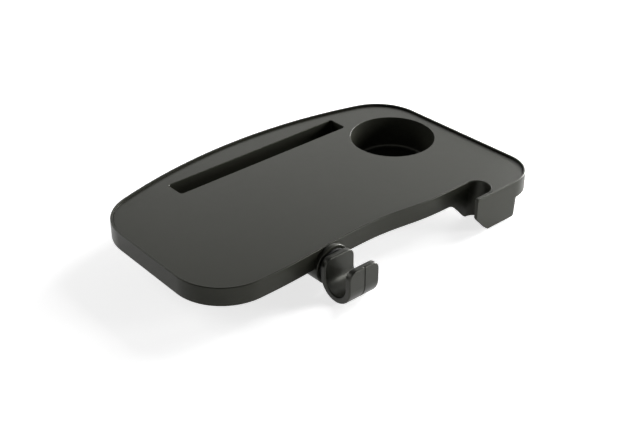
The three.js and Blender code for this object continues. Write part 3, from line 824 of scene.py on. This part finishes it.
class TRAY_OT_fittings(Operator):
    """Model the friction ring and the washer, and finish the swivel's inner pieces"""

    bl_idname = "tray.fittings"
    bl_label = "Swivel fittings"

    def execute(self, context):
        scene = context.scene
        plan, finishes = Plan(scene), scene.tray_finishes
        swivel = plan.swivel
        steel = metal("Zinc plated steel", finishes.steel, rough=0.34)
        centre = plan.pivot + plan.place
        centre.y = 0
        bm = bmesh.new()
        profile = ring_profile(swivel.spigot / 2 + swivel.clearance, RING_LOW, RING_HIGH, RING_ROUND)
        lathe(bm, profile, centre, PIVOT_AXIS, FACETS)
        finished(bm, "ring_of_rubber", "hook", rubber(scene), "friction_ring")
        bm = bmesh.new()
        bore = (SCREW_HIGH.x - SCREW_LOW.x) * WASHER_BORE
        profile = ring_profile(bore, WASHER_LOW, WASHER_HIGH, WASHER_ROUND)
        lathe(bm, profile, centre, PIVOT_AXIS, FEW_FACETS)
        finished(bm, "washer_of_steel", "hook", steel, "flat_washer")
        looks = {
            "wave_spring": steel,
            "pivot_screw": steel,
            "threaded_insert": metal("Turned brass", finishes.brass, rough=0.3),
            "hub_bush": acetal(scene),
        }
        for node, look in looks.items():
            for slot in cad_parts[node].material_slots:
                slot.material = look
        return {"FINISHED"}


def new_material(name):
    """Material with its node tree, its shader and its object coordinates."""
    material = bpy.data.materials.new(name)
    material.use_nodes = True
    nodes = material.node_tree.nodes
    place = nodes.new("ShaderNodeTexCoord")
    return material, material.node_tree, nodes["Principled BSDF"], place.outputs["Object"]


def noise(tree, place, size, detail=3, roughness=0.55):
    """Noise whose blotches are about as large as size."""
    node = tree.nodes.new("ShaderNodeTexNoise")
    node.inputs["Scale"].default_value = 1 / size
    node.inputs["Detail"].default_value = detail
    node.inputs["Roughness"].default_value = roughness
    tree.links.new(place, node.inputs["Vector"])
    return node.outputs["Fac"]


def spread(tree, value, out_low, out_high, low=NOISE_LOW, high=NOISE_HIGH):
    """Maps one range of a value, by default that of a noise, onto another."""
    node = tree.nodes.new("ShaderNodeMapRange")
    for socket, number in zip(("From Min", "From Max", "To Min", "To Max"), (low, high, out_low, out_high)):
        node.inputs[socket].default_value = number
    tree.links.new(value, node.inputs["Value"])
    return node.outputs["Result"]


def combined(tree, operation, *values):
    """Result of a calculation with sockets and plain numbers."""
    node = tree.nodes.new("ShaderNodeMath")
    node.operation = operation
    for socket, value in zip(node.inputs, values):
        if isinstance(value, bpy.types.NodeSocket):
            tree.links.new(value, socket)
        else:
            socket.default_value = value
    return node.outputs["Value"]


def tinted(tree, value, base, dark, light):
    """Colour that runs from a darker to a lighter shade of the base with a value."""
    node = tree.nodes.new("ShaderNodeMix")
    node.data_type = "RGBA"
    node.inputs["A"].default_value = [c * dark for c in base] + [1]
    node.inputs["B"].default_value = [min(1, c * light) for c in base] + [1]
    tree.links.new(value, node.inputs["Factor"])
    return node.outputs["Result"]


def grained(tree, shader, value, depth, strength):
    """Raises the surface with a value."""
    node = tree.nodes.new("ShaderNodeBump")
    node.inputs["Distance"].default_value = depth
    node.inputs["Strength"].default_value = strength
    tree.links.new(value, node.inputs["Height"])
    tree.links.new(node.outputs["Normal"], shader.inputs["Normal"])


def moulded(name, base, grain, gloss, smooth, rough, depth):
    """Moulded plastic with a fine spark-eroded grain and a faint cloudiness."""
    material, tree, shader, place = new_material(name)
    cloud = noise(tree, place, CLOUD, detail=4)
    speck = noise(tree, place, grain, detail=2, roughness=0.6)
    mix = combined(tree, "MULTIPLY_ADD", speck, SPECK_SHARE, spread(tree, cloud, 0, 1 - SPECK_SHARE))
    tree.links.new(tinted(tree, mix, base, dark=0.93, light=1.07), shader.inputs["Base Color"])
    blotch = noise(tree, place, BLOTCH)
    tree.links.new(spread(tree, blotch, smooth, rough), shader.inputs["Roughness"])
    shader.inputs["Specular IOR Level"].default_value = gloss
    shader.inputs["Specular Tint"].default_value = GLOSS_TINT
    grained(tree, shader, speck, depth, strength=0.35)
    return material


def tray_plastic(scene):
    """Charcoal plastic with a satin gloss."""
    look = scene.tray_finishes
    return moulded(
        "Charcoal tray plastic", look.tray, look.tray_grain, gloss=0.3, smooth=0.325, rough=0.355, depth=0.06 * MM
    )


def hook_plastic(scene):
    """Darker and glossier plastic with a finer grain."""
    look = scene.tray_finishes
    return moulded(
        "Charcoal hook plastic", look.hook, look.hook_grain, gloss=0.48, smooth=0.3, rough=0.34, depth=0.03 * MM
    )


def acetal(scene):
    """Uncoloured plastic, nearly smooth."""
    base = scene.tray_finishes.acetal
    return moulded("Natural acetal", base, 0.4 * MM, gloss=0.4, smooth=0.38, rough=0.46, depth=0.01 * MM)


def rubber(scene):
    """Soft black rubber with a powdery bloom."""
    material, tree, shader, place = new_material("Black rubber")
    bloom = noise(tree, place, 2 * MM, detail=5, roughness=0.65)
    shade = tinted(tree, bloom, scene.tray_finishes.rubber, dark=0.7, light=1.6)
    tree.links.new(shade, shader.inputs["Base Color"])
    tree.links.new(spread(tree, bloom, 0.7, 0.85), shader.inputs["Roughness"])
    grained(tree, shader, noise(tree, place, 0.3 * MM), depth=0.02 * MM, strength=0.4)
    return material


def metal(name, base, rough):
    """Plated or turned metal with fine marks along the hook's axis."""
    material, tree, shader, place = new_material(name)
    drawn = tree.nodes.new("ShaderNodeMapping")
    drawn.inputs["Scale"].default_value = MARK_SCALE
    tree.links.new(place, drawn.inputs["Vector"])
    marks = noise(tree, drawn.outputs["Vector"], 0.5 * MM, detail=4)
    tree.links.new(tinted(tree, marks, base, dark=0.85, light=1.12), shader.inputs["Base Color"])
    tree.links.new(spread(tree, marks, rough - 0.08, rough + 0.08), shader.inputs["Roughness"])
    shader.inputs["Metallic"].default_value = 1
    grained(tree, shader, marks, depth=0.01 * MM, strength=0.3)
    return material


def lamp(name, place, power, width, depth):
    """Soft rectangular lamp that faces the tray."""
    light = bpy.data.lights.new(name, "AREA")
    light.shape = "RECTANGLE"
    light.size = width
    light.size_y = depth
    light.energy = power
    holder = bpy.data.objects.new(name, light)
    holder.location = place
    holder.rotation_euler = (Vector(LAMP_TARGET) - Vector(place)).to_track_quat("-Z", "Y").to_euler()
    bpy.context.scene.collection.objects.link(holder)


def seen_as_background(tree, gloss):
    """Value that is 1 for what the camera sees, directly or through glass, and lower for what it sees in gloss."""
    path = tree.nodes.new("ShaderNodeLightPath")
    shine = combined(tree, "MULTIPLY", path.outputs["Is Glossy Ray"], gloss)
    seen = combined(tree, "MAXIMUM", path.outputs["Is Camera Ray"], shine)
    return combined(tree, "MAXIMUM", seen, path.outputs["Is Transmission Ray"])


def add_floor(scene):
    """Pale floor, which the camera sees as white apart from the tray's shadow."""
    bm = bmesh.new()
    bmesh.ops.create_grid(bm, x_segments=1, y_segments=1, size=FLOOR_SIZE)
    bmesh.ops.translate(bm, verts=bm.verts, vec=(0, 0, cad_box[0][2]))
    mesh = bpy.data.meshes.new("floor")
    bm.to_mesh(mesh)
    bm.free()
    floor = bpy.data.objects.new("floor", mesh)
    scene.collection.objects.link(floor)
    material, tree, shader, place = new_material("Pale floor")
    shader.inputs["Roughness"].default_value = 0.95
    shader.inputs["Specular IOR Level"].default_value = 0
    shade = tinted(tree, noise(tree, place, FLOOR_CLOUD), scene.tray_stage.floor, dark=0.995, light=1.005)
    tree.links.new(shade, shader.inputs["Base Color"])
    shader.inputs["Emission Color"].default_value = WHITE
    lift = combined(tree, "MULTIPLY", seen_as_background(tree, FLOOR_GLOSS), FLOOR_LIFT)
    tree.links.new(lift, shader.inputs["Emission Strength"])
    mesh.materials.append(material)


def light_room(scene):
    """White room, which is darker overhead, and its lamps."""
    world = bpy.data.worlds.new("Studio")
    scene.world = world
    world.use_nodes = True
    tree = world.node_tree
    background = tree.nodes["Background"]
    background.inputs["Color"].default_value = WHITE
    look = tree.nodes.new("ShaderNodeTexCoord")
    apart = tree.nodes.new("ShaderNodeSeparateXYZ")
    tree.links.new(look.outputs["Generated"], apart.inputs["Vector"])
    level = spread(tree, seen_as_background(tree, ROOM_GLOSS), ROOM_LIGHT, 1, low=0, high=1)
    shade = spread(tree, apart.outputs["Z"], 1, ROOM_OVERHEAD, low=ROOM_RISE, high=ROOM_TOP)
    tree.links.new(combined(tree, "MULTIPLY", level, shade), background.inputs["Strength"])
    for settings in LAMPS:
        lamp(*settings)


def add_camera(scene):
    """Camera at the photograph's viewing angle."""
    stage = scene.tray_stage
    camera = bpy.data.cameras.new("Camera")
    camera.sensor_width = SENSOR_WIDTH
    camera.lens = stage.lens
    holder = bpy.data.objects.new("Camera", camera)
    holder.location = stage.camera
    holder.rotation_euler = (stage.tilt, 0, stage.turn)
    scene.collection.objects.link(holder)
    scene.camera = holder


class TRAY_OT_stage(Operator):
    """Set up the floor, the light and the camera"""

    bl_idname = "tray.stage"
    bl_label = "Stage"

    def execute(self, context):
        scene = context.scene
        scene.view_settings.view_transform = "Standard"
        add_floor(scene)
        light_room(scene)
        add_camera(scene)
        return {"FINISHED"}


class TRAY_PT_panel(Panel):
    """Lists the tray's pieces and their sizes"""

    bl_idname = "TRAY_PT_panel"
    bl_label = "Side Tray"
    bl_space_type = "VIEW_3D"
    bl_region_type = "UI"
    bl_category = "Side Tray"

    def draw(self, context):
        for name, group in GROUPS.items():
            box = self.layout.box()
            box.label(text=group.__doc__)
            for key in group.__annotations__:
                box.prop(getattr(context.scene, name), key)
        for operator in OPERATORS:
            self.layout.operator(operator.bl_idname)


GROUPS = {
    "tray_deck": DeckSizes,
    "tray_wells": WellSizes,
    "tray_fork": ForkSizes,
    "tray_swivel": SwivelSizes,
    "tray_finishes": Finishes,
    "tray_stage": StageSettings,
}
OPERATORS = (TRAY_OT_stage, TRAY_OT_moulding, TRAY_OT_hook, TRAY_OT_fittings)


def register():
    for name, group in GROUPS.items():
        bpy.utils.register_class(group)
        setattr(bpy.types.Scene, name, PointerProperty(type=group))
    for cls in (*OPERATORS, TRAY_PT_panel):
        bpy.utils.register_class(cls)


def unregister():
    for cls in reversed((*OPERATORS, TRAY_PT_panel)):
        bpy.utils.unregister_class(cls)
    for name, group in GROUPS.items():
        delattr(bpy.types.Scene, name)
        bpy.utils.unregister_class(group)


def main():
    register()
    bpy.ops.tray.stage()
    bpy.ops.tray.moulding()
    bpy.ops.tray.hook()
    bpy.ops.tray.fittings()
    bpy.context.view_layer.update()


if __name__ == "__main__":
    main()
